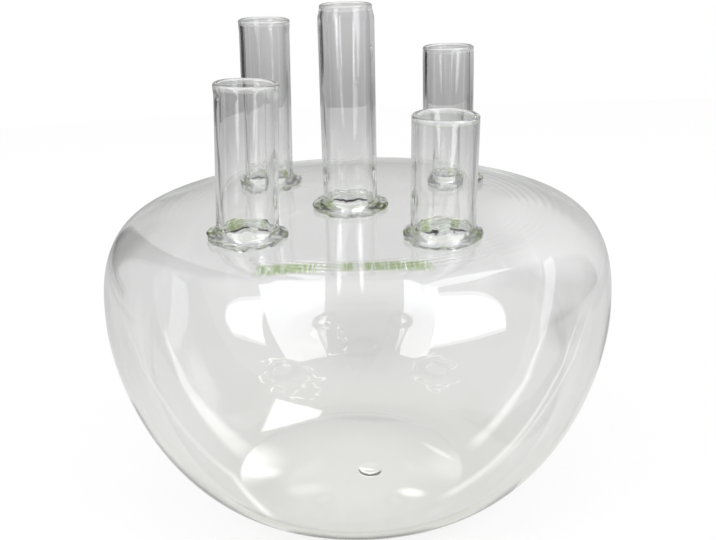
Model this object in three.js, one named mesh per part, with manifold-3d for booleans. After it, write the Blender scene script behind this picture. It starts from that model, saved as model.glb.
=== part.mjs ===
// A blown glass vase: a squat round bowl that is closed on top, with five open tubes of
// different heights welded over five holes in its flat top. Flowers stand in the tubes and
// the bowl holds the water for all of them. Millimetres, +Z up, the origin on the table
// under the middle of the bowl, the front of the vase towards -Y.
import * as THREE from "three";
import { mergeVertices } from "three/addons/utils/BufferGeometryUtils.js";
import Module from "manifold-3d";

const wasm = await Module();
wasm.setup();

// Bowl
const BOWL_RADIUS = 144; // at the widest ring
const BOWL_HEIGHT = 167.5; // table to the flat top
const WIDEST_Z = 114; // height of the widest ring
const TOP_FLAT_RADIUS = 107; // where the shoulder starts to fall
const SHOULDER_SQUARENESS = 2.6; // superellipse powers, 2 is a plain ellipse
const FLANK_SQUARENESS = 1.75;
const TOP_WALL = 2.6;
const SIDE_WALL = 2.3;
const FLOOR_WALL = 4.5; // glass is left thick at the bottom

// Foot: the ring that the bowl stands on, and the low dome of the kick pushed up inside it by
// hand, a little off the bowl's axis, so that the ring is narrow on one side
const FOOT_RADIUS = 72;
const KICK_X = -5.5;
const KICK_Y = -1.5;
const KICK_RADIUS = 65.5;
const KICK_HEIGHT = 8;
const KICK_POWER = 2.2; // of the fall from the dome's middle to its edge
const KICK_GLASS = 4.5; // thickness of the floor over the kick
const KICK_SPREAD = 1.5; // how much wider the kick is on the inside of the glass
const KICK_OVERCUT = 1.04; // the dome's surface runs on past its edge by this, to cut clean

// Tubes: where each one stands, its outer diameter, its height above the bowl, the middle
// radius of its fire-polished lip, how far its weld collar reaches, and its lean in degrees
const TUBE_WALL = 2.4;
const NECK_LENGTH = 7.2; // under the lip's middle, where the wall flares or draws in
const TUBES = [
  { name: "front_left", x: -56, y: -55.5, diameter: 32, height: 79,
    lip: 15.3, collar: 20.8, leanX: 2.9, leanY: 0.6 },
  { name: "front_right", x: 44, y: -62.5, diameter: 33.4, height: 62.5,
    lip: 15.6, collar: 20.4, leanX: 1.1, leanY: -1.1 },
  { name: "centre", x: -2.8, y: -4, diameter: 30.2, height: 111,
    lip: 12.8, collar: 21.2, leanX: 0.1, leanY: -0.3 },
  { name: "back_right", x: 57, y: 48, diameter: 30, height: 81,
    lip: 13.7, collar: 21.4, leanX: -0.2, leanY: 0.7 },
  { name: "back_left", x: -53, y: 53, diameter: 29.5, height: 98.5,
    lip: 13.9, collar: 20.2, leanX: 1.3, leanY: -0.3 },
];

// Weld collars: a bead on the bowl that sweeps up into the tube
const BEAD_RADIUS = 1.5;
const BEAD_FROM = -40; // degrees round the bead, from where it turns under to where the sweep starts
const BEAD_TO = 60;
const SWEEP_TOP = 6.5; // height at which the sweep meets the tube
const SWEEP_LIP = 0.7; // thickness left at the sweep's top

// Seal: the button of glass left under the kick where the bowl was cut off its iron
const SEAL_X = 5.5;
const SEAL_Y = -7;
const SEAL_RADIUS = 5.2;
const SEAL_DROP = 4.6; // how far it hangs below the kick
const SEAL_EDGE = 2; // radius of its rounded lower edge
const SEAL_DIMPLE = 0.8; // depth of the hollow in its middle
const SEAL_DIMPLE_EDGE = 0.2; // depth left at half its radius
const SEAL_FLARE = 1.2; // how much wider it is where it meets the kick

const SEAM = 0.3; // gap between two pieces that are fused on the real vase
const SKIN_INSET = 1; // how much smaller the inner skin's foot and flat top are
const TRIMMED_FOOT = 3; // what is welded on the top is made this much too long, then trimmed level
const DRILL_LENGTH = 6 * TOP_WALL;
const BOWL_SIDES = 72;
const KICK_STEPS = 5;
const FLANK_STEPS = 9;
const SHOULDER_STEPS = 7;
const TUBE_SIDES = 32;
const LIP_STEPS = 5;
const BEAD_STEPS = 4;
const SWEEP_STEPS = 4;
const SEAL_SIDES = 20;
const SEAL_STEPS = 4;

const clearGlass = new THREE.MeshStandardMaterial({ color: 0xe9eeea, roughness: 0.03, metalness: 0 });
const weldGlass = new THREE.MeshStandardMaterial({ color: 0xd9e6cf, roughness: 0.03, metalness: 0 });

// A mesh geometry as a closed solid, and back again
function toSolid(geometry) {
  const bare = geometry.clone();
  bare.deleteAttribute("normal");
  bare.deleteAttribute("uv");
  const merged = mergeVertices(bare, 1e-4);
  return new wasm.Manifold(
    new wasm.Mesh({
      numProp: 3,
      vertProperties: merged.attributes.position.array,
      triVerts: new Uint32Array(merged.index.array),
    }),
  );
}

function toGeometry(solid) {
  const mesh = solid.getMesh();
  const geometry = new THREE.BufferGeometry();
  geometry.setAttribute("position", new THREE.BufferAttribute(mesh.vertProperties, 3));
  geometry.setIndex(new THREE.BufferAttribute(mesh.triVerts, 1));
  geometry.computeVertexNormals();
  return geometry;
}

// A solid of revolution about +Z from [radius, z] points that run upwards on its outside
function revolve(points, sides) {
  const profile = points.map(([radius, z]) => new THREE.Vector2(radius, z));
  return new THREE.LatheGeometry(profile, sides).rotateX(Math.PI / 2);
}

// A quarter of a superellipse about (middleRadius, middleZ), from its side to its top or bottom
function quarter(middleRadius, middleZ, width, rise, squareness, steps) {
  const points = [];
  for (let i = 0; i <= steps; i++) {
    const angle = (i / steps) * (Math.PI / 2);
    const along = Math.cos(angle) ** (2 / squareness);
    const up = Math.sin(angle) ** (2 / squareness);
    points.push([middleRadius + width * (i === steps ? 0 : along), middleZ + rise * up]);
  }
  return points;
}

// Points of an arc that turns from one angle to another, both in degrees
function arc(middleRadius, middleZ, radius, from, to, steps) {
  const points = [];
  for (let i = 0; i <= steps; i++) {
    const angle = THREE.MathUtils.degToRad(from + ((to - from) * i) / steps);
    points.push([middleRadius + radius * Math.cos(angle), middleZ + radius * Math.sin(angle)]);
  }
  return points;
}

// The kick as a solid dome, to be cut from the outside of the bowl or from the hollow in it
function kickDome(radius, height, floorZ) {
  const points = [];
  for (let i = 0; i <= KICK_STEPS; i++) {
    const part = (KICK_OVERCUT * (KICK_STEPS - i)) / KICK_STEPS;
    points.push([radius * part, floorZ + height * (1 - part ** KICK_POWER)]);
  }
  const [, footZ] = points[0];
  return toSolid(revolve([[0, footZ], ...points], BOWL_SIDES).translate(KICK_X, KICK_Y, 0));
}

// Each tube's own frame: its foot on the bowl's top and its leaning axis
function tubeMatrix(tube) {
  const axis = new THREE.Vector3(
    Math.tan(THREE.MathUtils.degToRad(tube.leanX)),
    Math.tan(THREE.MathUtils.degToRad(tube.leanY)),
    1,
  ).normalize();
  const turn = new THREE.Quaternion().setFromUnitVectors(new THREE.Vector3(0, 0, 1), axis);
  const foot = new THREE.Vector3(tube.x, tube.y, BOWL_HEIGHT);
  return new THREE.Matrix4().compose(foot, turn, new THREE.Vector3(1, 1, 1));
}

// Takes away what is below the seam between the bowl's flat top and what is welded on it
function trimToTop(solid) {
  const width = 2 * BOWL_RADIUS;
  const depth = 3 * TRIMMED_FOOT;
  const slab = new THREE.BoxGeometry(width, width, depth);
  slab.translate(0, 0, BOWL_HEIGHT + SEAM - depth / 2);
  return solid.subtract(toSolid(slab));
}

// One skin of the bowl: its floor, the flank, the shoulder and the flat top
function bowlSkin({ footRadius, radius, flatRadius, floorZ, topZ }) {
  const flankWidth = radius - footRadius;
  const flankDrop = floorZ - WIDEST_Z;
  const flank = quarter(footRadius, WIDEST_Z, flankWidth, flankDrop, FLANK_SQUARENESS, FLANK_STEPS);
  const shoulderWidth = radius - flatRadius;
  const shoulder = quarter(
    flatRadius,
    WIDEST_Z,
    shoulderWidth,
    topZ - WIDEST_Z,
    SHOULDER_SQUARENESS,
    SHOULDER_STEPS,
  );
  return toSolid(revolve([[0, floorZ], ...flank.reverse(), ...shoulder.slice(1), [0, topZ]], BOWL_SIDES));
}

// The bowl: an outer skin less the kick, less the hollow inside it, with a hole under each tube
function bowlSolid() {
  const outer = bowlSkin({
    footRadius: FOOT_RADIUS,
    radius: BOWL_RADIUS,
    flatRadius: TOP_FLAT_RADIUS,
    floorZ: 0,
    topZ: BOWL_HEIGHT,
  });
  const hollow = bowlSkin({
    footRadius: FOOT_RADIUS - SKIN_INSET,
    radius: BOWL_RADIUS - SIDE_WALL,
    flatRadius: TOP_FLAT_RADIUS - SKIN_INSET,
    floorZ: FLOOR_WALL,
    topZ: BOWL_HEIGHT - TOP_WALL,
  });
  const under = kickDome(KICK_RADIUS, KICK_HEIGHT, 0);
  const over = kickDome(KICK_RADIUS + KICK_SPREAD, KICK_HEIGHT + KICK_GLASS - FLOOR_WALL, FLOOR_WALL);
  let solid = outer.subtract(under).subtract(hollow.subtract(over));
  for (const tube of TUBES) {
    const bore = tube.diameter / 2 - TUBE_WALL;
    const drill = new THREE.CylinderGeometry(bore, bore, DRILL_LENGTH, TUBE_SIDES).rotateX(Math.PI / 2);
    solid = solid.subtract(toSolid(drill.applyMatrix4(tubeMatrix(tube))));
  }
  return solid;
}

// A tube: one closed wall section turned about its axis, with a rounded lip on top
function tubeGeometry(tube) {
  const outerRadius = tube.diameter / 2;
  const bore = outerRadius - TUBE_WALL;
  const lipRadius = TUBE_WALL / 2;
  const lipZ = tube.height - lipRadius;
  const neckZ = lipZ - NECK_LENGTH;
  const section = [
    [outerRadius, -TRIMMED_FOOT],
    [outerRadius, neckZ],
    ...arc(tube.lip, lipZ, lipRadius, 0, 180, LIP_STEPS),
    [bore, neckZ],
    [bore, -TRIMMED_FOOT],
    [outerRadius, -TRIMMED_FOOT],
  ];
  return revolve(section, TUBE_SIDES).applyMatrix4(tubeMatrix(tube));
}

// A weld collar: a round bead on the bowl and a hollow sweep from it up the tube
function collarGeometry(tube) {
  const inside = tube.diameter / 2 + SEAM;
  const bead = arc(tube.collar - BEAD_RADIUS, BEAD_RADIUS, BEAD_RADIUS, BEAD_FROM, BEAD_TO, BEAD_STEPS);
  const [beadFoot] = bead[0];
  const [sweepFoot, sweepFootZ] = bead[BEAD_STEPS];
  const sweepWidth = sweepFoot - inside - SWEEP_LIP;
  const sweepRise = SWEEP_TOP - sweepFootZ;
  const sweep = [];
  for (let i = 1; i <= SWEEP_STEPS; i++) {
    const angle = (i / SWEEP_STEPS) * (Math.PI / 2);
    sweep.push([
      sweepFoot - sweepWidth * Math.sin(angle),
      sweepFootZ + sweepRise * (1 - Math.cos(angle)),
    ]);
  }
  const section = [
    [inside, -TRIMMED_FOOT],
    [beadFoot, -TRIMMED_FOOT],
    ...bead,
    ...sweep,
    [inside, SWEEP_TOP + SEAM],
    [inside, -TRIMMED_FOOT],
  ];
  return revolve(section, TUBE_SIDES).applyMatrix4(tubeMatrix(tube));
}

// The seal: a rounded button under the kick, its top cut to the kick's own curve
function sealSolid(bowl) {
  const topZ = KICK_HEIGHT + KICK_GLASS / 2;
  const bottomZ = KICK_HEIGHT - SEAL_DROP;
  const section = [
    [0, bottomZ + SEAL_DIMPLE],
    [SEAL_RADIUS / 2, bottomZ + SEAL_DIMPLE_EDGE],
    ...arc(SEAL_RADIUS - SEAL_EDGE, bottomZ + SEAL_EDGE, SEAL_EDGE, -90, 0, SEAL_STEPS),
    [SEAL_RADIUS + SEAL_FLARE, topZ],
    [0, topZ],
  ];
  const button = revolve(section, SEAL_SIDES).translate(SEAL_X, SEAL_Y, 0);
  const lowered = toSolid(toGeometry(bowl).translate(0, 0, -SEAM));
  const pieces = toSolid(button).subtract(lowered).decompose();
  // what lies above the lowered floor is waste, so the lowest piece is the button
  return pieces.reduce((a, b) => (a.boundingBox().min[2] < b.boundingBox().min[2] ? a : b));
}

function named(name, geometry, material) {
  const mesh = new THREE.Mesh(geometry, material);
  mesh.name = name;
  return mesh;
}

const vase = new THREE.Group();
const bowl = bowlSolid();
vase.add(named("bowl", toGeometry(bowl), clearGlass));
vase.add(named("base_seal", toGeometry(sealSolid(bowl)), weldGlass));
for (const tube of TUBES) {
  const wall = trimToTop(toSolid(tubeGeometry(tube)));
  const collar = trimToTop(toSolid(collarGeometry(tube)));
  vase.add(named(tube.name + "_tube", toGeometry(wall), clearGlass));
  vase.add(named(tube.name + "_collar", toGeometry(collar), weldGlass));
}

export default vase;
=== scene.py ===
import math

import bmesh
import bpy
from mathutils import Matrix, Vector, noise


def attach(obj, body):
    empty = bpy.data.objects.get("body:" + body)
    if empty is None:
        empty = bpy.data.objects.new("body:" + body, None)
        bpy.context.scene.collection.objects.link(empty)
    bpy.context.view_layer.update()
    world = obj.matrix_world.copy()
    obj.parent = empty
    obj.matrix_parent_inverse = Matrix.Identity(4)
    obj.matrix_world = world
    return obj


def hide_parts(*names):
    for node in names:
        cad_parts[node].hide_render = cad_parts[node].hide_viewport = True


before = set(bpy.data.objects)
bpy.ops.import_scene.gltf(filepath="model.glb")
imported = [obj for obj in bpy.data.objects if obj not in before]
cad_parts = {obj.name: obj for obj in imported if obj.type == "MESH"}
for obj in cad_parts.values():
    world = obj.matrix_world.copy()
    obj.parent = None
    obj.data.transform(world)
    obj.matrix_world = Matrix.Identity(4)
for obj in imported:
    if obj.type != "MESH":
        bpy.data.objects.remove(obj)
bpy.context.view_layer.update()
mm = 0.001
print("frame loaded,", len(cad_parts), "nodes")

# The photograph's camera: it looks down on the vase, a little turned about its own axis
cameraSpec = {
    "place": (0.45, -547.0, 324.2),  # mm
    "pitch": 19.76,  # degrees below level
    "roll": -1.48,
    "lens": 50.28,  # mm, on a sensor 36 mm wide
}


def makeCamera(spec):
    pitch = math.radians(spec["pitch"])
    roll = math.radians(spec["roll"])
    level = Vector((1, 0, 0))
    rise = Vector((0, math.sin(pitch), math.cos(pitch)))
    right = level * math.cos(roll) + rise * math.sin(roll)
    up = rise * math.cos(roll) - level * math.sin(roll)
    turn = Matrix((right, up, right.cross(up))).transposed().to_4x4()
    data = bpy.data.cameras.new("camera")
    data.lens = spec["lens"]
    data.sensor_width = 36
    data.sensor_fit = "HORIZONTAL"
    camera = bpy.data.objects.new("camera", data)
    camera.matrix_world = Matrix.Translation(Vector(spec["place"]) * mm) @ turn
    bpy.context.scene.collection.objects.link(camera)
    bpy.context.scene.camera = camera


makeCamera(cameraSpec)
bpy.context.scene.view_settings.view_transform = "Standard"
print("camera made")


# Node helpers: a socket is set to a value, or linked when it is given another socket
def putIn(tree, socket, value):
    if isinstance(value, bpy.types.NodeSocket):
        tree.links.new(value, socket)
    else:
        socket.default_value = value


def mathNode(tree, operation, first, second=0.0, third=0.0):
    node = tree.nodes.new("ShaderNodeMath")
    node.operation = operation
    for socket, value in zip(node.inputs, (first, second, third)):
        putIn(tree, socket, value)
    return node.outputs[0]


def product(tree, first, *others):
    for other in others:
        first = mathNode(tree, "MULTIPLY", first, other)
    return first


def rangeNode(tree, value, fromLow, fromHigh, toLow, toHigh):
    node = tree.nodes.new("ShaderNodeMapRange")
    node.interpolation_type = "SMOOTHSTEP"
    for name, part in zip(
        ("Value", "From Min", "From Max", "To Min", "To Max"),
        (value, fromLow, fromHigh, toLow, toHigh),
    ):
        putIn(tree, node.inputs[name], part)
    return node.outputs["Result"]


def windowNode(tree, value, low, high, soft):
    rise = rangeNode(tree, value, low - soft, low + soft, 0.0, 1.0)
    fall = rangeNode(tree, value, high - soft, high + soft, 1.0, 0.0)
    return product(tree, rise, fall)


def blendNode(tree, share, first, second):
    node = tree.nodes.new("ShaderNodeMix")
    putIn(tree, node.inputs["Factor"], share)
    putIn(tree, node.inputs["A"], first)
    putIn(tree, node.inputs["B"], second)
    return node.outputs["Result"]


def tintNode(tree, share, first, second):
    node = tree.nodes.new("ShaderNodeMix")
    node.data_type = "RGBA"
    putIn(tree, node.inputs["Factor"], share)
    putIn(tree, node.inputs["A"], first)
    putIn(tree, node.inputs["B"], second)
    return node.outputs["Result"]


def inMetres(sizes):
    return [size * mm for size in sizes]


def objectPlace(tree):
    return tree.nodes.new("ShaderNodeTexCoord").outputs["Object"]


def partsOf(tree, place):
    split = tree.nodes.new("ShaderNodeSeparateXYZ")
    putIn(tree, split.inputs[0], place)
    return split.outputs["X"], split.outputs["Y"], split.outputs["Z"]


def lengthOf(tree, place):
    node = tree.nodes.new("ShaderNodeVectorMath")
    node.operation = "LENGTH"
    putIn(tree, node.inputs[0], place)
    return node.outputs["Value"]


def noiseNode(tree, place, scale, detail=1.0):
    node = tree.nodes.new("ShaderNodeTexNoise")
    putIn(tree, node.inputs["Vector"], place)
    putIn(tree, node.inputs["Scale"], scale)
    node.inputs["Detail"].default_value = detail
    return node


def newMaterial(name):
    material = bpy.data.materials.new(name)
    material.use_nodes = True
    material.node_tree.nodes.clear()
    return material, material.node_tree


# What glass sees of the room, by compass: 0 is straight behind the vase, 90 to its right.
# Heights are those of the line of sight, where 1 is straight up.
roomSpec = {
    "white": 1.0,  # what the camera itself sees
    "ambient": 0.8,  # what lights the matt table
    "backdrop": (0.37, 0.56),  # at the table's edge, and higher up
    "backdropRise": (-0.19, -0.09),
    "backdropLeft": 0.84,  # below the horizon it is dimmer on the left
    "leftFade": (-9, -3),
    "horizon": (-0.03, 0.03),
    "walls": [
        {"name": "dark gap", "from": -47, "to": -25, "glow": 0.03},
        {"name": "left wall", "from": -95, "to": -47, "glow": 0.50},
        {"name": "left front", "from": -200, "to": -95, "glow": 0.50},
        {"name": "right wall", "from": 53, "to": 95, "glow": 0.14},
        {"name": "right front", "from": 95, "to": 200, "glow": 0.50},
    ],
    "lowGap": {"from": -60, "to": -28, "glow": 0.03},  # below the horizon the dark gap is wider
    "wallSoft": 1.0,
    "ceiling": 0.9,
    "ceilingFrom": (0.72, 0.86),
}


def makeWorld(spec):
    world = bpy.data.worlds.new("studio")
    world.use_nodes = True
    tree = world.node_tree
    tree.nodes.clear()
    path = tree.nodes.new("ShaderNodeLightPath").outputs
    across, deep, up = partsOf(tree, tree.nodes.new("ShaderNodeTexCoord").outputs["Generated"])
    compass = mathNode(tree, "DEGREES", mathNode(tree, "ARCTAN2", across, deep))
    wall = rangeNode(tree, up, *spec["backdropRise"], *spec["backdrop"])
    leftShare = rangeNode(tree, compass, *spec["leftFade"], spec["backdropLeft"], 1.0)
    leftShare = blendNode(tree, rangeNode(tree, up, *spec["horizon"], 0.0, 1.0), leftShare, 1.0)
    wall = product(tree, wall, leftShare)
    for part in spec["walls"]:
        inside = windowNode(tree, compass, part["from"], part["to"], spec["wallSoft"])
        wall = blendNode(tree, inside, wall, part["glow"])
    gap = spec["lowGap"]
    inside = windowNode(tree, compass, gap["from"], gap["to"], spec["wallSoft"])
    wall = blendNode(tree, product(tree, inside, mathNode(tree, "LESS_THAN", up, 0.0)), wall, gap["glow"])
    wall = blendNode(tree, rangeNode(tree, up, *spec["ceilingFrom"], 0.0, 1.0), wall, spec["ceiling"])
    seen = mathNode(tree, "MAXIMUM", path["Is Glossy Ray"], path["Is Transmission Ray"])
    unseen = mathNode(tree, "SUBTRACT", mathNode(tree, "SUBTRACT", 1.0, seen), path["Is Camera Ray"])
    white = product(tree, path["Is Camera Ray"], spec["white"])
    plain = mathNode(tree, "ADD", white, product(tree, unseen, spec["ambient"]))
    background = tree.nodes.new("ShaderNodeBackground")
    background.inputs["Color"].default_value = (1, 1, 1, 1)
    putIn(tree, background.inputs["Strength"], mathNode(tree, "ADD", product(tree, seen, wall), plain))
    output = tree.nodes.new("ShaderNodeOutputWorld")
    putIn(tree, output.inputs["Surface"], background.outputs[0])
    bpy.context.scene.world = world


# Light gathered on the table under the bowl, painted, and painted shade where the glow is below 0: middle and
# half size in mm, turned in degrees, full as far as "core" and gone at 1. What is marked "inKick" stops
# sharply at the rim of the kick.
kickRim = {"middle": (-7.0, -6.2), "reach": (68.5, 61.8), "sharp": (0.985, 1.01)}
patchSpec = [
    {"name": "left glow", "middle": (-78, 2), "half": (36, 33), "core": 0.25, "glow": 0.50, "inKick": True},
    {"name": "left bright spot", "middle": (-60, -11), "half": (15, 9), "turn": 4, "core": 0.2, "glow": 0.30,
     "inKick": True},
    {"name": "right rim line", "middle": (47.5, 9.5), "half": (18, 3.0), "turn": -50, "core": 0.3,
     "glow": 0.25},
    {"name": "right glow", "middle": (58, -8), "half": (28, 26), "core": 0.2, "glow": 0.16, "inKick": True},
    {"name": "front right glow", "middle": (28.5, -36.2), "half": (11, 6.5), "turn": -18, "core": 0.25,
     "glow": 0.40},
    {"name": "front left glow", "middle": (-34, -30), "half": (17, 9), "turn": 12, "core": 0.2, "glow": 0.12},
    {"name": "whole kick", "middle": (-7, -6), "half": (75, 68), "core": 0.3, "glow": 0.09, "inKick": True},
    {"name": "shade behind", "middle": (8, 235), "half": (80, 150), "core": 0.2, "glow": -0.11},
    {"name": "left arc", "middle": (-118, 120), "half": (13, 78), "turn": 17, "core": 0.2, "glow": 0.09},
    {"name": "right shade", "middle": (174, 212), "half": (26, 70), "turn": -17, "core": 0.3, "glow": -0.14},
    {"name": "far right glow", "middle": (222, 500), "half": (90, 190), "core": 0.5, "glow": 0.16},
    {"name": "far left shade", "middle": (-275, 532), "half": (55, 100), "core": 0.3, "glow": -0.09},
    {"name": "left streak", "middle": (-18.5, 440), "half": (3.4, 115), "core": 0.3, "glow": 0.40},
    {"name": "right streak", "middle": (4, 440), "half": (3.0, 110), "core": 0.3, "glow": 0.36},
    {"name": "seal spot", "middle": (3.5, -13.0), "half": (6, 4.2), "turn": -20, "core": 0.4, "glow": 0.60},
    {"name": "olive shade band", "middle": (4, 53), "half": (34, 7), "turn": -8, "core": 0.3, "glow": -0.10},
]


# How far a place is from a patch's middle, where 1 is the patch's edge
def localReach(tree, place, middle, half, turn=0):
    local = tree.nodes.new("ShaderNodeMapping")
    local.vector_type = "TEXTURE"
    putIn(tree, local.inputs["Vector"], place)
    putIn(tree, local.inputs["Location"], Vector((*middle, 0)) * mm)
    putIn(tree, local.inputs["Rotation"], (0, 0, math.radians(turn)))
    putIn(tree, local.inputs["Scale"], Vector((*half, 1000)) * mm)
    return lengthOf(tree, local.outputs["Vector"])


def patchNode(tree, place, patch):
    reach = localReach(tree, place, patch["middle"], patch["half"], patch.get("turn", 0))
    glow = rangeNode(tree, reach, patch["core"], 1.0, patch["glow"], 0.0)
    if "inKick" in patch:
        out = localReach(tree, place, kickRim["middle"], kickRim["reach"])
        glow = product(tree, glow, rangeNode(tree, out, *kickRim["sharp"], 1.0, 0.0))
    return glow


# The pointed patch of light behind the kick's left rim: corners in mm, in turn
pointedSpec = {"corners": ((-60, 89), (-27, 67.5), (-29, 57), (-66.5, 41)), "soft": 1.8, "glow": 0.50}


def pointedNode(tree, across, deep, spec):
    inside = 1.0
    corners = spec["corners"]
    for (x, y), (nextX, nextY) in zip(corners, corners[1:] + corners[:1]):
        length = math.hypot(nextX - x, nextY - y)
        normalX, normalY = (nextY - y) / length, (x - nextX) / length
        depth = mathNode(tree, "MULTIPLY_ADD", across, normalX, product(tree, deep, normalY))
        depth = mathNode(tree, "SUBTRACT", depth, (x * normalX + y * normalY) * mm)
        inside = mathNode(tree, "MINIMUM", inside, depth)
    return rangeNode(tree, inside, -spec["soft"] * mm, spec["soft"] * mm, 0.0, spec["glow"])


# Wavering, broken rings of light that the welds throw on the table behind them, in mm and degrees
squiggleSpec = {
    "places": [
        {"middle": (-53, 124), "half": (22, 44), "turn": 20, "share": 1.0},
        {"middle": (55, 131), "half": (19, 36), "turn": 0, "share": 0.5},
        {"middle": (-24, 205), "half": (15, 48), "turn": 0, "share": 0.9},
    ],
    "rings": ((0.60, 0.5), (0.86, 1.0)),  # how far out each ring is, and its share
    "half": 0.06,
    "wander": 1.15,
    "size": 17.0,
    "breaks": 11.0,
    "kept": (0.44, 0.58),
    "glow": 0.36,
}


def squiggleNode(tree, place, spec):
    stray = noiseNode(tree, place, 1 / (spec["size"] * mm))
    breaks = noiseNode(tree, place, 1 / (spec["breaks"] * mm))
    wander = mathNode(tree, "MULTIPLY_ADD", stray.outputs["Fac"], spec["wander"], -spec["wander"] / 2)
    kept = rangeNode(tree, breaks.outputs["Fac"], *spec["kept"], 0.0, 1.0)
    total = 0.0
    for spot in spec["places"]:
        smooth = localReach(tree, place, spot["middle"], spot["half"], spot["turn"])
        reach = mathNode(tree, "ADD", smooth, wander)
        for radius, weight in spec["rings"]:
            off = mathNode(tree, "ABSOLUTE", mathNode(tree, "SUBTRACT", reach, radius))
            line = rangeNode(tree, off, 0.0, spec["half"], spot["share"] * weight * spec["glow"], 0.0)
            total = mathNode(tree, "ADD", total, line)
    return product(tree, total, kept)


# The table, in metres. The camera sees it white, and glass sees a pale sheet on it, dimmer to the sides.
tableSpec = {
    "outline": (  # its far edge bends nearer on the left
        (-1.5, -1.2), (0.95, -1.2), (0.95, 1.20), (-0.10, 1.20),
        (-0.25, 1.18), (-0.5, 1.115), (-0.7, 1.07), (-1.5, 1.0),
    ),
    "level": -0.0002,
    "white": 0.84,
    "matt": 0.16,
    "near": 0.66,
    "nearTint": (1.0, 1.0, 0.965, 1),
    "far": 0.63,
    "farTint": (1.0, 0.995, 1.0, 1),
    "away": (0.06, 0.45),  # from near to far
    "left": 0.66,
    "leftFade": (-0.36, -0.13),
    "right": 0.74,
    "rightFade": (0.13, 0.36),
    "back": 0.60,
    "backFade": (0.45, 1.20),
    "front": 0.38,
    "frontFade": (-0.9, -0.18),
    "gapsFrom": (0.13, 0.17),  # behind the vase the sheet is missing in two places
    "rightGap": {"from": 0.50, "to": 0.52, "dim": 0.6},
    "leftGap": {"from": -1.0, "to": -0.74, "soft": 0.03, "dim": 0.94},
    "edge": {"front": -0.152, "skew": -0.06, "half": 0.013, "soft": 0.007, "narrowRight": 1.7,
             "aside": (0.10, 0.13), "glow": 1.5},
    "bowedLine": {"front": -0.122, "left": 0.888, "right": 0.477, "rightSecond": 0.79, "power": 1.9,
                  "turnedBack": (0.35, -0.074),  # only on the left, close in
                  "half": 0.0035, "soft": 0.003, "aside": (0.05, 0.07), "glow": 1.0,
                  "leftFade": (-0.14, -0.09), "leftShare": 0.4,
                  "secondFrom": (0.07, 0.12), "secondGlow": 0.6},
}


def sheetTone(tree, spec, across, deep, away):
    pale = blendNode(tree, away, spec["near"], spec["far"])
    leftShare = rangeNode(tree, across, *spec["leftFade"], spec["left"], 1.0)
    rightShare = rangeNode(tree, across, *spec["rightFade"], 1.0, spec["right"])
    backShare = rangeNode(tree, deep, *spec["backFade"], 1.0, spec["back"])
    pale = product(tree, pale, leftShare, rightShare, backShare)
    return blendNode(tree, rangeNode(tree, deep, *spec["frontFade"], 1.0, 0.0), pale, spec["front"])


def sheetGaps(tree, spec, across, deep):
    right, left = spec["rightGap"], spec["leftGap"]
    rightDim = rangeNode(tree, across, right["from"], right["to"], 0.0, right["dim"])
    leftDim = product(tree, windowNode(tree, across, left["from"], left["to"], left["soft"]), left["dim"])
    behind = rangeNode(tree, deep, *spec["gapsFrom"], 0.0, 1.0)
    return product(tree, mathNode(tree, "MAXIMUM", rightDim, leftDim), behind)


# What the outside of the bowl mirrors: the lit edge of the sheet
def edgeLine(tree, edge, across, deep, rightSide):
    skewed = mathNode(tree, "MAXIMUM", across, 0.0)
    middle = mathNode(tree, "MULTIPLY_ADD", skewed, edge["skew"], edge["front"])
    narrow = blendNode(tree, rightSide, 1.0, edge["narrowRight"])
    off = product(tree, mathNode(tree, "SUBTRACT", deep, middle), narrow)
    line = windowNode(tree, off, -edge["half"], edge["half"], edge["soft"])
    aside = rangeNode(tree, mathNode(tree, "ABSOLUTE", across), *edge["aside"], 0.0, edge["glow"])
    return product(tree, line, aside)


# And bowed lines of light, one on the left and two on the right
def bowedLines(tree, bow, across, deep, rightSide):
    reach = mathNode(tree, "POWER", mathNode(tree, "ABSOLUTE", across), bow["power"])
    steep = blendNode(tree, rightSide, bow["left"], bow["right"])
    first = mathNode(tree, "MULTIPLY_ADD", reach, steep, bow["front"])
    turnedBack = mathNode(tree, "MULTIPLY_ADD", across, *bow["turnedBack"])
    first = mathNode(tree, "MAXIMUM", first, blendNode(tree, rightSide, turnedBack, -1.0))
    second = mathNode(tree, "MULTIPLY_ADD", reach, bow["rightSecond"], bow["front"])
    aside = rangeNode(tree, mathNode(tree, "ABSOLUTE", across), *bow["aside"], 0.0, bow["glow"])
    leftShare = rangeNode(tree, across, *bow["leftFade"], bow["leftShare"], 1.0)
    secondGlow = rangeNode(tree, across, *bow["secondFrom"], 0.0, bow["secondGlow"])
    lines = []
    for middle, glow in ((first, product(tree, aside, leftShare)), (second, secondGlow)):
        off = mathNode(tree, "SUBTRACT", deep, middle)
        lines.append(product(tree, windowNode(tree, off, -bow["half"], bow["half"], bow["soft"]), glow))
    return mathNode(tree, "MAXIMUM", *lines)


# What shows through the floor of the bowl: light that the glass has gathered on the table
def gatheredLight(tree, place, across, deep):
    pointed = pointedNode(tree, across, deep, pointedSpec)
    gathered = mathNode(tree, "ADD", pointed, squiggleNode(tree, place, squiggleSpec))
    for patch in patchSpec:
        gathered = mathNode(tree, "ADD", gathered, patchNode(tree, place, patch))
    return gathered


def stageSheet(name, bm):
    mesh = bpy.data.meshes.new(name)
    bm.to_mesh(mesh)
    bm.free()
    sheet = bpy.data.objects.new(name, mesh)
    bpy.context.scene.collection.objects.link(sheet)
    return sheet


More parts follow.
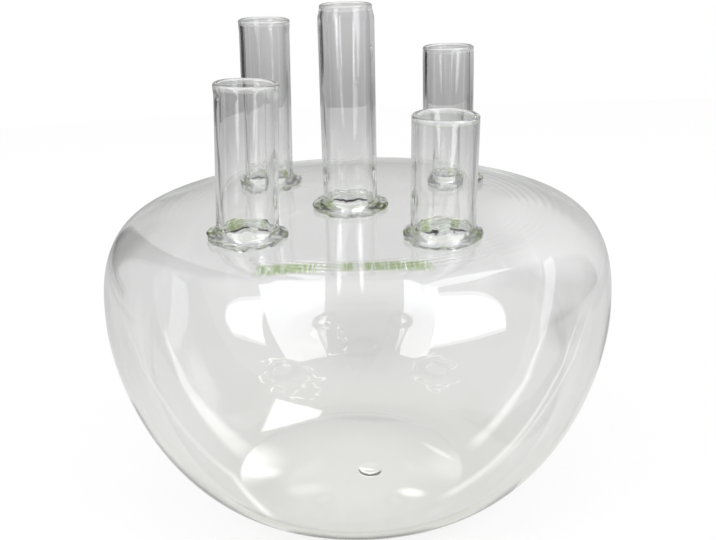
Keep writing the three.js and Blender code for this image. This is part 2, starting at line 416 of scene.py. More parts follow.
def makeTable(spec):
    bm = bmesh.new()
    bm.faces.new([bm.verts.new((x, y, spec["level"])) for x, y in spec["outline"]])
    table = stageSheet("table", bm)
    material, tree = newMaterial("pale table")
    path = tree.nodes.new("ShaderNodeLightPath").outputs
    place = objectPlace(tree)
    across, deep = partsOf(tree, place)[:2]
    away = rangeNode(tree, lengthOf(tree, place), *spec["away"], 0.0, 1.0)
    rightSide = mathNode(tree, "GREATER_THAN", across, 0.0)
    gaps = product(tree, sheetGaps(tree, spec, across, deep), path["Is Transmission Ray"])
    sheet = product(tree, sheetTone(tree, spec, across, deep, away), mathNode(tree, "SUBTRACT", 1.0, gaps))
    edge = edgeLine(tree, spec["edge"], across, deep, rightSide)
    bowed = bowedLines(tree, spec["bowedLine"], across, deep, rightSide)
    mirrored = product(tree, mathNode(tree, "ADD", edge, bowed), path["Is Glossy Ray"])
    gathered = product(tree, gatheredLight(tree, place, across, deep), path["Is Transmission Ray"])
    sheet = mathNode(tree, "ADD", sheet, mathNode(tree, "ADD", mirrored, gathered))
    seen = mathNode(tree, "MAXIMUM", path["Is Glossy Ray"], path["Is Transmission Ray"])
    white = product(tree, path["Is Camera Ray"], spec["white"])
    tint = tintNode(tree, away, spec["nearTint"], spec["farTint"])
    glow = tree.nodes.new("ShaderNodeEmission")
    putIn(tree, glow.inputs["Strength"], mathNode(tree, "ADD", white, product(tree, seen, sheet)))
    putIn(tree, glow.inputs["Color"], tintNode(tree, path["Is Camera Ray"], tint, (1, 1, 1, 1)))
    matt = tree.nodes.new("ShaderNodeBsdfDiffuse")
    matt.inputs["Color"].default_value = (spec["matt"],) * 3 + (1,)
    both = tree.nodes.new("ShaderNodeAddShader")
    putIn(tree, both.inputs[0], glow.outputs[0])
    putIn(tree, both.inputs[1], matt.outputs[0])
    output = tree.nodes.new("ShaderNodeOutputMaterial")
    putIn(tree, output.inputs["Surface"], both.outputs[0])
    table.data.materials.append(material)


# Two soft boxes light the table; glass doesn't see them, it sees the panels below
lampSpec = {
    "lamps": [
        {"name": "softBoxLeft", "place": (-0.95, -0.75, 1.0)},
        {"name": "softBoxRight", "place": (0.95, -0.75, 1.0)},
    ],
    "aim": (0, 0, 0.1),
    "size": (0.5, 0.9),
    "glow": 7.0,
}


def makeLamps(spec):
    width, height = spec["size"]
    for part in spec["lamps"]:
        data = bpy.data.lights.new(part["name"], "AREA")
        data.shape = "RECTANGLE"
        data.size = width
        data.size_y = height
        data.energy = spec["glow"] * math.pi * width * height
        lamp = bpy.data.objects.new(part["name"], data)
        place = Vector(part["place"])
        towards = Vector(spec["aim"]) - place
        turn = towards.to_track_quat("-Z", "Y").to_matrix().to_4x4()
        lamp.matrix_world = Matrix.Translation(place) @ turn
        lamp.visible_glossy = False
        lamp.visible_transmission = False
        bpy.context.scene.collection.objects.link(lamp)


# Lit panels of the light tent on both sides of the camera, corners in metres
panelSpec = [
    {"name": "panelLeft", "glow": 4.2, "corners": (
        (-0.465, -0.440, 0.235), (-0.153, -0.275, 0.161), (-0.145, -0.155, 0.430), (-0.240, -0.165, 0.520),
        (-0.335, -0.185, 0.540), (-0.400, -0.262, 0.440), (-0.450, -0.355, 0.330))},
    {"name": "panelRight", "glow": 4.2, "corners": (
        (0.620, -0.405, 0.180), (0.100, -0.260, 0.145), (0.115, -0.150, 0.415), (0.425, -0.200, 0.685))},
    {"name": "panelRoof", "glow": 4.2, "mirrorOnly": True, "corners": (
        (0.604, 0.313, 0.9), (0.443, 0.307, 0.9), (0.346, 0.275, 0.9), (0.274, 0.224, 0.9),
        (0.221, 0.077, 0.9), (0.292, -0.058, 0.9), (0.429, 0.053, 0.9), (0.524, 0.235, 0.9))},
]
# The low inner part of the side panels lights the bowl close by, but the tubes are too far away to mirror it
nearSpec = {"low": (0.21, 0.25), "inner": (0.24, 0.30), "far": (0.27, 0.30), "cut": 0.9}
# The bright seams of the side walls: each bows back as it rises, and its width grows
seamSpec = {
    "steps": 12,
    "seams": [
        {"name": "seamLeft", "side": -0.6, "front": -0.16, "lean": -0.45, "bow": 1.45, "top": 0.62,
         "width": (0.085, 1.3), "glow": 1.9},
        {"name": "seamRight", "side": 0.6, "front": -0.185, "lean": 0.0, "bow": 1.25, "top": 0.63,
         "width": (0.040, 3.6), "glow": 2.2},
    ],
}


def nearShare(tree, spec):
    across, _, up = partsOf(tree, objectPlace(tree))
    low = rangeNode(tree, up, *spec["low"], 1.0, 0.0)
    inner = rangeNode(tree, mathNode(tree, "ABSOLUTE", across), *spec["inner"], 1.0, 0.0)
    length = tree.nodes.new("ShaderNodeLightPath").outputs["Ray Length"]
    far = rangeNode(tree, length, *spec["far"], 0.0, spec["cut"])
    return mathNode(tree, "SUBTRACT", 1.0, product(tree, low, inner, far))


# A lit sheet is either seen in the outside of the glass only, or else it is cut off by nearShare
def makeGlowSheet(name, bm, glow, mirrorOnly):
    sheet = stageSheet(name, bm)
    sheet.visible_camera = False
    sheet.visible_diffuse = False
    sheet.visible_shadow = False
    material, tree = newMaterial(name + " light")
    light = tree.nodes.new("ShaderNodeEmission")
    light.inputs["Color"].default_value = (0.96, 0.96, 1.0, 1)
    if mirrorOnly:
        light.inputs["Strength"].default_value = glow
        depth = tree.nodes.new("ShaderNodeLightPath").outputs["Transmission Depth"]
        pick = tree.nodes.new("ShaderNodeMixShader")
        putIn(tree, pick.inputs[0], mathNode(tree, "LESS_THAN", depth, 0.5))
        putIn(tree, pick.inputs[1], tree.nodes.new("ShaderNodeBsdfTransparent").outputs[0])
        putIn(tree, pick.inputs[2], light.outputs[0])
        light = pick
    else:
        putIn(tree, light.inputs["Strength"], product(tree, nearShare(tree, nearSpec), glow))
    output = tree.nodes.new("ShaderNodeOutputMaterial")
    putIn(tree, output.inputs["Surface"], light.outputs[0])
    sheet.data.materials.append(material)


def makePanels(specs):
    for spec in specs:
        bm = bmesh.new()
        bm.faces.new([bm.verts.new(corner) for corner in spec["corners"]])
        makeGlowSheet(spec["name"], bm, spec["glow"], spec.get("mirrorOnly", False))


def makeSeams(spec):
    for seam in spec["seams"]:
        bm = bmesh.new()
        pairs = []
        for i in range(spec["steps"] + 1):
            rise = seam["top"] * i / spec["steps"]
            back = seam["front"] + seam["lean"] * rise + seam["bow"] * rise * rise
            half = seam["width"][0] / 2 * (1 + seam["width"][1] * rise)
            pairs.append([bm.verts.new((seam["side"], back + shift, rise)) for shift in (-half, half)])
        for (a, b), (c, d) in zip(pairs, pairs[1:]):
            bm.faces.new((a, b, d, c))
        makeGlowSheet(seam["name"], bm, seam["glow"], True)


makeWorld(roomSpec)
makeTable(tableSpec)
makeLamps(lampSpec)
makePanels(panelSpec)
makeSeams(seamSpec)
print("studio made")


# The bowl's sizes, in mm
bowlSpec = {
    "radius": 144,
    "height": 167.5,
    "widest": 114,
    "flat": 107,
    "shoulder": 2.6,
    "flank": 1.75,
    "topWall": 2.2,
    "sideWall": 1.3,
    "floorWall": 1.5,
    "foot": 72,
    "kickMiddle": (-5.5, -1.5),
    "kickRadius": 65.5,
    "kickPower": 2.2,
    "kick": 8,
    "kickGlass": 3.0,
    "seal": {"middle": (4.5, -22.0), "radius": 7.0, "drop": 1.5, "dropPower": 0.6,
             "dimple": 1.6, "dimpleFall": 2.5},
    "bead": {"width": 4.0, "hang": 2.2, "uneven": 0.7, "roundTo": 0.8, "rings": 6, "size": 5.0},
    "sides": 256,
    "flankSteps": 48,
    "shoulderSteps": 32,
    "domeSteps": 72,
}


# The stems: tubes with fire-polished lips, each with its weld collar; sizes in mm
stemSpec = {
    "wall": 2.4,
    "neck": 7.2,
    "bead": 1.5,
    "beadArc": (-40, 60),
    "sweepTop": 6.5,
    "lipDepth": 2.6,  # how far down the lip's pale glass goes: a painted highlight
    "sides": 144,
    "beadSteps": 10,
    "sweepSteps": 12,
    "wallSteps": 8,
    "neckSteps": 8,
    "lipSteps": 14,
    "seam": 0.05,
    "spare": 3,  # what is cut off under the seat
    "lumpTop": 11.0,
    "lumpFade": 1.6,
    "boreShare": 0.5,  # in the bore the lumps are flatter, and fade in above the seat
    "boreFade": 4,
    "lumps": [  # the weld's unevenness: its size along the ring and across it, and its depth
        {"along": 8.0, "across": 3.0, "depth": 0.7},
        {"along": 3.6, "across": 2.0, "depth": 0.3},
    ],
    "greenTop": 6.0,
    "greenFade": 2.0,
    "greenFull": 1.6,
}
stems = [
    {"name": "front_left", "foot": (-56, -55.5), "diameter": 32, "height": 79, "lip": 15.3,
     "collar": 20.8, "lean": (2.9, 0.6), "green": ((122, 20), (62, 9), (185, 22), (-5, 12))},
    {"name": "front_right", "foot": (44, -62.5), "diameter": 33.4, "height": 62.5, "lip": 15.6,
     "collar": 20.4, "lean": (1.1, -1.1), "green": ((118, 11), (62, 11), (185, 14), (-15, 24))},
    {"name": "centre", "foot": (-2.8, -4), "diameter": 30.2, "height": 110.9, "lip": 12.8,
     "collar": 21.2, "lean": (0.1, -0.3), "green": ((205, 28), (-25, 22))},
    {"name": "back_right", "foot": (57, 48), "diameter": 30, "height": 81, "lip": 13.7,
     "collar": 21.4, "lean": (-0.2, 0.7), "green": ((0, 22), (70, 12))},
    {"name": "back_left", "foot": (-53, 53), "diameter": 29.5, "height": 98.5, "lip": 13.9,
     "collar": 20.2, "lean": (1.3, -0.3), "green": ((45, 20), (200, 16))},
]


# Glass: clear with a faint green, deeper where light runs far through it
glassSpec = {
    "ior": 1.5,
    "absorbColour": (0.60, 0.90, 0.45, 1),
    "absorbDensity": 4.0,
    "clear": (0.99, 0.99, 0.99, 1),
}


def newGroup(name, inputs, output):
    group = bpy.data.node_groups.new(name, "ShaderNodeTree")
    for part in inputs:
        group.interface.new_socket(part, in_out="INPUT", socket_type="NodeSocketFloat")
    group.interface.new_socket(output, in_out="OUTPUT", socket_type="NodeSocketFloat")
    start = group.nodes.new("NodeGroupInput").outputs
    end = group.nodes.new("NodeGroupOutput").inputs[output]
    return group, start, end


def groupNode(tree, group, **values):
    node = tree.nodes.new("ShaderNodeGroup")
    node.node_tree = group
    for name, value in values.items():
        putIn(tree, node.inputs[name], value)
    return node.outputs[0]


# The waves of a skin of glass: how many to the metre, and their depth in metres
waveSpec = {
    "bowl": {"Size": 14.0, "Depth": 0.0004},
    "tube": {"Size": 45.0, "Depth": 0.0001},
    "weld": {"Size": 240.0, "Depth": 0.0003},
}


def makeWaveGroup():
    group, start, end = newGroup("blownWaves", ("Size", "Depth"), "Height")
    broad = noiseNode(group, objectPlace(group), start["Size"])
    putIn(group, end, product(group, broad.outputs["Fac"], start["Depth"]))
    return group


# Rings left on the flat top, where the glass was pressed while it turned; sizes in mm
rippleSpec = {
    "pitch": 4.2,
    "depth": 0.0045,
    "rise": (84, 94),
    "fall": (122, 132),
    "level": (140, 155),
    "wander": 5.0,  # how far a ring strays from round
    "wanderSize": 62.5,
    "leftShare": 0.35,  # the rings are weaker on the left
    "leftFade": (-60, 20),
    "frontShare": 5.0,  # and deeper in the thick front
    "front": {"across": (-75, 70), "soft": 20, "deep": (-100, -88), "fall": (114, 122)},
}


def makeRippleGroup(spec):
    group, start, end = newGroup("pressedRings", ("Pitch", "Depth"), "Height")
    place = objectPlace(group)
    across, deep, up = partsOf(group, place)
    squares = mathNode(group, "MULTIPLY_ADD", across, across, product(group, deep, deep))
    radius = mathNode(group, "SQRT", squares)
    stray = noiseNode(group, place, 1 / (spec["wanderSize"] * mm))
    strayed = mathNode(group, "MULTIPLY_ADD", stray.outputs["Fac"], spec["wander"] * mm, radius)
    turns = mathNode(group, "DIVIDE", strayed, start["Pitch"])
    skinShift = 0.5 / (bowlSpec["topWall"] * mm)  # the two skins' rings lie half a turn apart
    turns = mathNode(group, "MULTIPLY_ADD", up, skinShift, turns)
    wave = mathNode(group, "SINE", product(group, turns, 2 * math.pi))
    rise = rangeNode(group, radius, *inMetres(spec["rise"]), 0.0, 1.0)
    fall = rangeNode(group, radius, *inMetres(spec["fall"]), 1.0, 0.0)
    high = rangeNode(group, up, *inMetres(spec["level"]), 0.0, 1.0)
    left = rangeNode(group, across, *inMetres(spec["leftFade"]), spec["leftShare"], 1.0)
    front = spec["front"]
    thick = product(
        group,
        windowNode(group, across, *inMetres(front["across"]), front["soft"] * mm),
        rangeNode(group, deep, *inMetres(front["deep"]), spec["frontShare"], 0.0),
        rangeNode(group, radius, *inMetres(front["fall"]), 1.0, 0.0),
    )
    mask = product(group, rise, fall, high, left, mathNode(group, "ADD", thick, 1.0))
    putIn(group, end, product(group, wave, mask, start["Depth"]))
    return group


# Near each weld the top is pulled uneven; sizes in mm
pullSpec = {"reach": (21.0, 38.0), "size": 14.0, "depth": 0.05}


def makePullGroup(spec):
    group, start, end = newGroup("pulledTop", ("Size", "Depth"), "Height")
    place = objectPlace(group)
    near = 0.0
    for stem in stems:
        off = group.nodes.new("ShaderNodeVectorMath")
        off.operation = "DISTANCE"
        putIn(group, off.inputs[0], place)
        putIn(group, off.inputs[1], Vector((*stem["foot"], bowlSpec["height"])) * mm)
        here = rangeNode(group, off.outputs["Value"], *inMetres(spec["reach"]), 1.0, 0.0)
        near = mathNode(group, "MAXIMUM", near, here)
    waves = noiseNode(group, place, mathNode(group, "DIVIDE", 1.0, start["Size"]))
    waves.inputs["Distortion"].default_value = 1.0
    putIn(group, end, product(group, near, waves.outputs["Fac"], start["Depth"]))
    return group


# Painted green, where light running far through the glass shows green: in the welds, along the front of the
# pressed ring and on the front of the foot; sizes in mm
paintedGreenSpec = {
    "weld": {"colour": (0.45, 0.58, 0.22, 1), "size": 3.4, "share": 0.62},
    "ring": {"colour": (0.50, 0.63, 0.34, 1), "deep": (-110.0, -99.5), "deepSoft": 1.2,
             "across": (-47.0, 35.0), "acrossSoft": 4.0, "above": 150.0,
             "gaps": ((-18.8, -7.5), (-2.0, 4.0)), "gapSoft": 1.0, "gapShare": 0.65,
             "size": 1.5, "share": 0.64, "stretch": 12.0},
    "foot": {"colour": (0.86, 0.93, 0.76, 1), "fall": (4.0, 16.0), "outside": 84.0, "front": (-72.0, -50.0)},
}


# A streaked or specked mask
def makeSpeckGroup():
    group, start, end = newGroup("glassSpecks", ("Size", "Share", "Stretch"), "Mask")
    across, deep, up = partsOf(group, objectPlace(group))
    joined = group.nodes.new("ShaderNodeCombineXYZ")
    putIn(group, joined.inputs["X"], across)
    putIn(group, joined.inputs["Y"], mathNode(group, "DIVIDE", deep, start["Stretch"]))
    putIn(group, joined.inputs["Z"], up)
    scale = mathNode(group, "DIVIDE", 1.0, start["Size"])
    specks = noiseNode(group, joined.outputs["Vector"], scale, 2.0)
    low = mathNode(group, "SUBTRACT", 1.0, start["Share"])
    high = mathNode(group, "ADD", low, 0.14)
    putIn(group, end, rangeNode(group, specks.outputs["Fac"], low, high, 0.0, 1.0))
    return group


waveGroup = makeWaveGroup()
rippleGroup = makeRippleGroup(rippleSpec)
pullGroup = makePullGroup(pullSpec)
speckGroup = makeSpeckGroup()


def bowlHeights(tree):
    waves = groupNode(tree, waveGroup, **waveSpec["bowl"])
    rings = groupNode(tree, rippleGroup, Pitch=rippleSpec["pitch"] * mm, Depth=rippleSpec["depth"] * mm)
    pulled = groupNode(tree, pullGroup, Size=pullSpec["size"] * mm, Depth=pullSpec["depth"] * mm)
    return mathNode(tree, "ADD", mathNode(tree, "ADD", waves, rings), pulled)


def tubeHeights(tree):
    return groupNode(tree, waveGroup, **waveSpec["tube"])


def weldHeights(tree):
    return groupNode(tree, waveGroup, **waveSpec["weld"])


# The green dashes along the front of the pressed ring are painted: they stand in for light running far
# through the glass there
def paintedRingGreenMask(tree, ring, across, deep, up):
    band = windowNode(tree, deep, *inMetres(ring["deep"]), ring["deepSoft"] * mm)
    side = windowNode(tree, across, *inMetres(ring["across"]), ring["acrossSoft"] * mm)
    for ends in ring["gaps"]:
        gap = windowNode(tree, across, *inMetres(ends), ring["gapSoft"] * mm)
        side = product(tree, side, mathNode(tree, "SUBTRACT", 1.0, product(tree, gap, ring["gapShare"])))
    top = mathNode(tree, "GREATER_THAN", up, ring["above"] * mm)
    specks = groupNode(tree, speckGroup, Size=ring["size"] * mm, Share=ring["share"], Stretch=ring["stretch"])
    return product(tree, band, side, top, specks)


# The green on the front of the foot is painted: it stands in for light running far through the glass at the
# bottom edge
def paintedFootGreenMask(tree, foot, across, deep, up):
    low = rangeNode(tree, up, *inMetres(foot["fall"]), 1.0, 0.0)
    squares = mathNode(tree, "MULTIPLY_ADD", across, across, product(tree, deep, deep))
    outside = mathNode(tree, "GREATER_THAN", mathNode(tree, "SQRT", squares), foot["outside"] * mm)
    front = rangeNode(tree, deep, *inMetres(foot["front"]), 1.0, 0.0)
    return product(tree, low, outside, front)


def bowlColour(tree):
    place = partsOf(tree, objectPlace(tree))
    ring, foot = paintedGreenSpec["ring"], paintedGreenSpec["foot"]
    colour = tintNode(tree, paintedRingGreenMask(tree, ring, *place), glassSpec["clear"], ring["colour"])
    return tintNode(tree, paintedFootGreenMask(tree, foot, *place), colour, foot["colour"])


# The weld's green lobes are painted: they stand in for light that runs far through the weld glass and comes
# out green
def tubeColour(tree):
    weld = paintedGreenSpec["weld"]
    specks = groupNode(tree, speckGroup, Size=weld["size"] * mm, Share=weld["share"], Stretch=1.0)
    share = tree.nodes.new("ShaderNodeAttribute")
    share.attribute_name = "paintedGreenShare"
    mask = product(tree, share.outputs["Fac"], specks)
    return tintNode(tree, mask, glassSpec["clear"], weld["colour"])


def lipColour(tree):
    return glassSpec["clear"]


# "clearShare" is how much is clear glass; the rest is pale and matt, which on the lip and weld is a painted
# highlight; "haze" is the share of the glass's own green
def makeGlass(name, heights, colour, clearShare, haze):
    material, tree = newMaterial(name)
    glass = tree.nodes.new("ShaderNodeBsdfPrincipled")
    putIn(tree, glass.inputs["Base Color"], colour(tree))
    glass.inputs["Roughness"].default_value = 0.0
    glass.inputs["IOR"].default_value = glassSpec["ior"]
    glass.inputs["Transmission Weight"].default_value = clearShare
    bump = tree.nodes.new("ShaderNodeBump")
    bump.inputs["Strength"].default_value = 1.0
    bump.inputs["Distance"].default_value = 1.0
    putIn(tree, bump.inputs["Height"], heights(tree))
    putIn(tree, glass.inputs["Normal"], bump.outputs["Normal"])
    absorb = tree.nodes.new("ShaderNodeVolumeAbsorption")
    absorb.inputs["Color"].default_value = glassSpec["absorbColour"]
    absorb.inputs["Density"].default_value = glassSpec["absorbDensity"] * haze
    output = tree.nodes.new("ShaderNodeOutputMaterial")
    putIn(tree, output.inputs["Surface"], glass.outputs[0])
    putIn(tree, output.inputs["Volume"], absorb.outputs[0])
    return material


bowlGlass = makeGlass("blown bowl glass", bowlHeights, bowlColour, clearShare=1.0, haze=1.0)
tubeGlass = makeGlass("drawn tube glass", tubeHeights, tubeColour, clearShare=1.0, haze=0.12)
# The weld and the lip are partly pale and matt: a painted highlight, so that they read bright where clear
# glass shows bright light
weldGlass = makeGlass("weld glass", weldHeights, tubeColour, clearShare=0.88, haze=0.12)
lipGlass = makeGlass("fire-polished lip", tubeHeights, lipColour, clearShare=0.80, haze=0.2)
print("glass made")


# Profiles, in mm
def quarter(middleRadius, middleZ, width, rise, squareness, steps):
    points = []
    for i in range(steps + 1):
        angle = i / steps * math.pi / 2
        along = 0.0 if i == steps else math.cos(angle) ** (2 / squareness)
        points.append((middleRadius + width * along, middleZ + rise * math.sin(angle) ** (2 / squareness)))
    return points


def arc(middleRadius, middleZ, radius, start, end, steps):
    points = []
    for i in range(steps + 1):
        angle = math.radians(start + (end - start) * i / steps)
        points.append((middleRadius + radius * math.cos(angle), middleZ + radius * math.sin(angle)))
    return points


def chain(bm, points, closed=False):
    verts = [bm.verts.new((radius * mm, 0, z * mm)) for radius, z in points]
    edges = [bm.edges.new(pair) for pair in zip(verts, verts[1:])]
    if closed:
        edges.append(bm.edges.new((verts[-1], verts[0])))
    return verts + edges


def spinRound(bm, geometry, steps):
    bmesh.ops.spin(
        bm, geom=geometry, cent=(0, 0, 0), axis=(0, 0, 1), angle=2 * math.pi, steps=steps, use_merge=True
    )
    bmesh.ops.remove_doubles(bm, verts=bm.verts, dist=1e-6)
    bmesh.ops.recalc_face_normals(bm, faces=bm.faces)


sharpAngle = 50  # degrees


def finishPiece(name, bm, materials, replaced):
    mesh = bpy.data.meshes.new(name)
    bm.to_mesh(mesh)
    bm.free()
    for material in materials:
        mesh.materials.append(material)
    mesh.shade_smooth()
    mesh.set_sharp_from_angle(angle=math.radians(sharpAngle))
    piece = bpy.data.objects.new(name, mesh)
    bpy.context.scene.collection.objects.link(piece)
    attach(piece, "root")
    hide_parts(*replaced)
    print("made", name, len(mesh.polygons), "faces")


def stemMatrix(stem):
    leanX, leanY = (math.radians(angle) for angle in stem["lean"])
    axis = Vector((math.tan(leanX), math.tan(leanY), 1)).normalized()
    turn = Vector((0, 0, 1)).rotation_difference(axis).to_matrix().to_4x4()
    place = Vector((*stem["foot"], bowlSpec["height"])) * mm
    return Matrix.Translation(place) @ turn


# The neck, where the wall eases over to the lip's width
def neckPoints(radius, lipRadius, neckZ, steps):
    points = []
    for i in steps:
        part = i / stemSpec["neckSteps"]
        ease = 0.5 - 0.5 * math.cos(math.pi * part)
        points.append((radius + (lipRadius - radius) * ease, neckZ + stemSpec["neck"] * part))
    return points


def stemSection(stem):
    outer = stem["diameter"] / 2
    bore = outer - stemSpec["wall"]
    lipRadius = stemSpec["wall"] / 2
    lipZ = stem["height"] - lipRadius
    neckZ = lipZ - stemSpec["neck"]
    bead = stemSpec["bead"]
    beadArc = arc(stem["collar"] - bead, bead, bead, *stemSpec["beadArc"], stemSpec["beadSteps"])
    footRadius, footZ = beadArc[-1]
    sweepWidth = footRadius - outer
    sweepRise = stemSpec["sweepTop"] - footZ
    sweep = []
    for i in range(1, stemSpec["sweepSteps"] + 1):
        angle = i / stemSpec["sweepSteps"] * math.pi / 2
        sweep.append((footRadius - sweepWidth * math.sin(angle), footZ + sweepRise * (1 - math.cos(angle))))
    points = [(bore, -stemSpec["spare"]), (beadArc[0][0], -stemSpec["spare"])] + beadArc + sweep
    wallSteps, neckSteps = stemSpec["wallSteps"], stemSpec["neckSteps"]
    for i in range(1, wallSteps + 1):
        points.append((outer, stemSpec["sweepTop"] + (neckZ - stemSpec["sweepTop"]) * i / wallSteps))
    points += neckPoints(outer, stem["lip"] + lipRadius, neckZ, range(1, neckSteps))
    points += arc(stem["lip"], lipZ, lipRadius, 0, 180, stemSpec["lipSteps"])
    points += neckPoints(bore, stem["lip"] - lipRadius, neckZ, range(neckSteps - 1, 0, -1))
    for i in range(wallSteps, -1, -1):
        points.append((bore, neckZ * i / wallSteps))
    return points


def roughenWeld(bm, stem, seed):
    outer = stem["diameter"] / 2
    for vert in bm.verts:
        high = vert.co.z / mm / stemSpec["lumpTop"]
        if high > 1:
            continue
        high = max(high, 0)
        fade = min(1.0, stemSpec["lumpFade"] * (1 - high))
        radius = vert.co.xy.length / mm
        if radius < outer - 1:  # the bore stays true where it meets the hole in the bowl
            fade *= stemSpec["boreShare"] * min(1.0, stemSpec["boreFade"] * high)
        outward, upward = 0.0, 0.0
        side = Vector((vert.co.x, vert.co.y, 0)).normalized()
        for lump in stemSpec["lumps"]:
            layer = (radius + vert.co.z / mm) / lump["across"]
            spot = side * stem["collar"] / lump["along"] + Vector((seed * 7.3, 0, layer))
            outward += lump["depth"] * noise.noise(spot)
            upward += lump["depth"] * noise.noise(spot + Vector((0, 31.7, 0)))
        vert.co += (side * outward + Vector((0, 0, upward))) * fade * mm


# Lobes of painted green in the weld, standing in for light that runs far through the weld glass and comes out
# green: where they are, from +X towards the back, and how far they spread
def paintedGreenShare(stem, spot):
    angle = math.degrees(math.atan2(spot.y, spot.x))
    best = 0.0
    for lobe, spread in stem["green"]:
        off = abs((angle - lobe + 180) % 360 - 180) / spread
        best = max(best, 1 - off * off)
    fade = min(1.0, max(0.0, (stemSpec["greenTop"] - spot.z / mm) / stemSpec["greenFade"]))
    return min(1.0, stemSpec["greenFull"] * best) * fade


def makeStem(stem):
    bm = bmesh.new()
    spinRound(bm, chain(bm, stemSection(stem), closed=True), stemSpec["sides"])
    roughenWeld(bm, stem, stems.index(stem))
    green = bm.verts.layers.float.new("paintedGreenShare")
    for vert in bm.verts:
        vert[green] = paintedGreenShare(stem, vert.co)
    lipFrom = (stem["height"] - stemSpec["lipDepth"]) * mm
    weldBelow, weldBeyond = stemSpec["sweepTop"] * mm, (stem["diameter"] / 2 + 0.4) * mm
    for face in bm.faces:
        middle = face.calc_center_median()
        if middle.z > lipFrom:
            face.material_index = 1
        elif middle.z < weldBelow and middle.xy.length > weldBeyond:
            face.material_index = 2
    bmesh.ops.transform(bm, matrix=stemMatrix(stem), verts=bm.verts)
    seat = (bowlSpec["height"] + stemSpec["seam"]) * mm
    cut = bmesh.ops.bisect_plane(
        bm, geom=bm.verts[:] + bm.edges[:] + bm.faces[:], dist=1e-7,
        plane_co=(0, 0, seat), plane_no=(0, 0, 1), clear_inner=True,
    )
    rims = [edge for edge in cut["geom_cut"] if isinstance(edge, bmesh.types.BMEdge)]
    bmesh.ops.bridge_loops(bm, edges=rims)
    bmesh.ops.recalc_face_normals(bm, faces=bm.faces)
    name = stem["name"]
    materials = (tubeGlass, lipGlass, weldGlass)
    finishPiece(name + "_stem", bm, materials, (name + "_tube", name + "_collar"))


for stem in stems:
    makeStem(stem)
print("stems made")


def skinProfile(foot, radius, flat, floor, top):
    widest = bowlSpec["widest"]
    flank = quarter(foot, widest, radius - foot, floor - widest, bowlSpec["flank"], bowlSpec["flankSteps"])
    shoulder = quarter(
        flat, widest, radius - flat, top - widest, bowlSpec["shoulder"], bowlSpec["shoulderSteps"]
    )
    return flank[::-1] + shoulder[1:] + [(flat - 1, top)]


def makeDome(bm, radius, rise, floor):
    points = []
    for i in range(bowlSpec["domeSteps"] + 1):
        part = i / bowlSpec["domeSteps"]
        points.append((radius * part, floor + rise * (1 - part ** bowlSpec["kickPower"])))
    before = set(bm.verts)
    spinRound(bm, chain(bm, points), bowlSpec["sides"])
    made = [vert for vert in bm.verts if vert not in before]
    bmesh.ops.translate(bm, verts=made, vec=Vector((*bowlSpec["kickMiddle"], 0)) * mm)
    seal = bowlSpec["seal"]
    for vert in made:  # the button of glass under the kick, and a dimple over it
        off = (vert.co.xy - Vector(seal["middle"]) * mm).length / (seal["radius"] * mm)
        if floor == 0 and off < 1:
            vert.co.z -= seal["drop"] * mm * (1 - off * off) ** seal["dropPower"]
        elif floor > 0:
            vert.co.z -= seal["dimple"] * mm * math.exp(-seal["dimpleFall"] * off * off)


def ringOf(bm, matrix, radius, sides):
    made = bmesh.ops.create_circle(bm, cap_ends=False, segments=sides, radius=radius * mm, matrix=matrix)
    verts = made["verts"]
    return list({edge for vert in verts for edge in vert.link_edges})


def joinLoops(bm, level):
    edges = [
        edge for edge in bm.edges
        if edge.is_boundary and abs(edge.verts[0].co.z - level * mm) < 1e-6
    ]
    bmesh.ops.triangle_fill(bm, edges=edges, use_beauty=True, normal=(0, 0, 1))


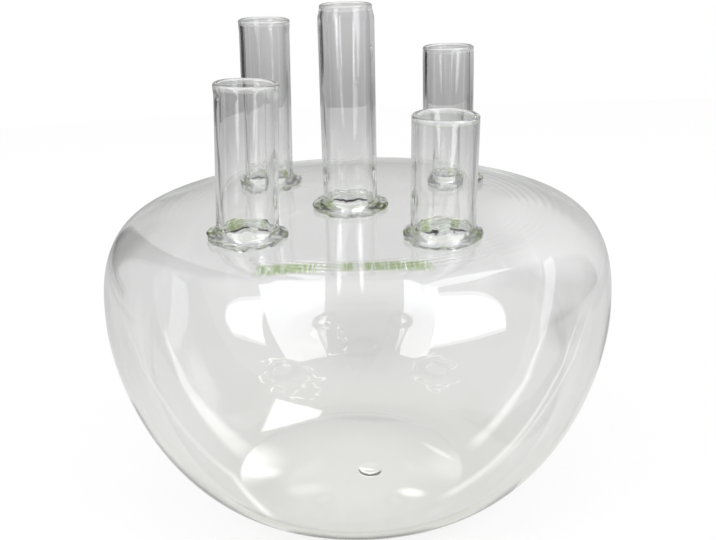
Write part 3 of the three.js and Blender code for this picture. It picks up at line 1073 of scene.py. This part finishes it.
# The weld's bead inside the bowl: an uneven ring that hangs from the top round each hole
def hangBead(bm, stem, bead, level):
    foot = Vector(stem["foot"]) * mm
    bore = stem["diameter"] / 2 - stemSpec["wall"]
    edges = [
        edge for edge in bm.edges
        if edge.is_boundary and abs(edge.verts[0].co.z - level * mm) < 1e-5
        and (edge.verts[0].co.xy - foot).length < (bore + bead["width"] + 1) * mm
    ]
    for i in range(bead["rings"] + 1):
        part = max(i / bead["rings"], 0.01)  # the first ring is narrow and level, so the top stays flat
        swell = math.sin(math.pi * min(part, bead["roundTo"])) if i else 0.0
        made = bmesh.ops.extrude_edge_only(bm, edges=edges)["geom"]
        edges = [item for item in made if isinstance(item, bmesh.types.BMEdge)]
        for vert in {item for item in made if isinstance(item, bmesh.types.BMVert)}:
            side = (vert.co.xy - foot).normalized()
            spot = side.to_3d() * bore / bead["size"] + Vector((stems.index(stem) * 5.1, part, 0))
            hang = swell * bead["hang"] * (1 + bead["uneven"] * noise.noise(spot))
            reach = bore + bead["width"] * (1 - part)
            vert.co = Vector((*(foot + side * reach * mm), (level - hang) * mm))


def makeBowl(spec):
    bm = bmesh.new()
    floor, top = spec["floorWall"], spec["height"] - spec["topWall"]
    outer = skinProfile(spec["foot"], spec["radius"], spec["flat"], 0, spec["height"])
    inner = skinProfile(spec["foot"], spec["radius"] - spec["sideWall"], spec["flat"] - 1, floor, top)
    for points in (outer, inner):
        spinRound(bm, chain(bm, points), spec["sides"])
    makeDome(bm, spec["kickRadius"], spec["kick"], 0)
    makeDome(bm, spec["kickRadius"] - 0.3, spec["kick"] + spec["kickGlass"] - floor, floor)
    for level in (0, floor):
        joinLoops(bm, level)
    rims = [edge for edge in bm.edges if edge.is_boundary]
    for z in (spec["height"], spec["height"] - spec["topWall"]):
        level = [edge for edge in rims if abs(edge.verts[0].co.z - z * mm) < 1e-5]
        rings = []
        for stem in stems:
            drop = Matrix.Translation((0, 0, (z - spec["height"]) * mm))
            wider = 0 if z == spec["height"] else spec["bead"]["width"]
            radius = stem["diameter"] / 2 - stemSpec["wall"] + wider
            rings += ringOf(bm, stemMatrix(stem) @ drop, radius, stemSpec["sides"])
        for vert in {vert for edge in rings for vert in edge.verts}:
            vert.co.z = z * mm
        bmesh.ops.triangle_fill(bm, edges=level + rings, use_beauty=True, normal=(0, 0, 1))
    for stem in stems:
        hangBead(bm, stem, spec["bead"], spec["height"] - spec["topWall"])
    for stem in stems:
        middle = Vector(stem["foot"]) * mm
        reach = (stem["diameter"] / 2 - stemSpec["wall"] + 1) * mm
        edges = [
            edge for edge in bm.edges
            if edge.is_boundary and (edge.verts[0].co.xy - middle).length < reach
        ]
        bmesh.ops.bridge_loops(bm, edges=edges)
    bmesh.ops.recalc_face_normals(bm, faces=bm.faces)
    finishPiece("bowl_glass", bm, (bowlGlass,), ("bowl", "base_seal"))


makeBowl(bowlSpec)
print("bowl made")

cycles = bpy.context.scene.cycles
cycles.max_bounces = 24
cycles.transmission_bounces = 24
cycles.glossy_bounces = 16
cycles.transparent_max_bounces = 16
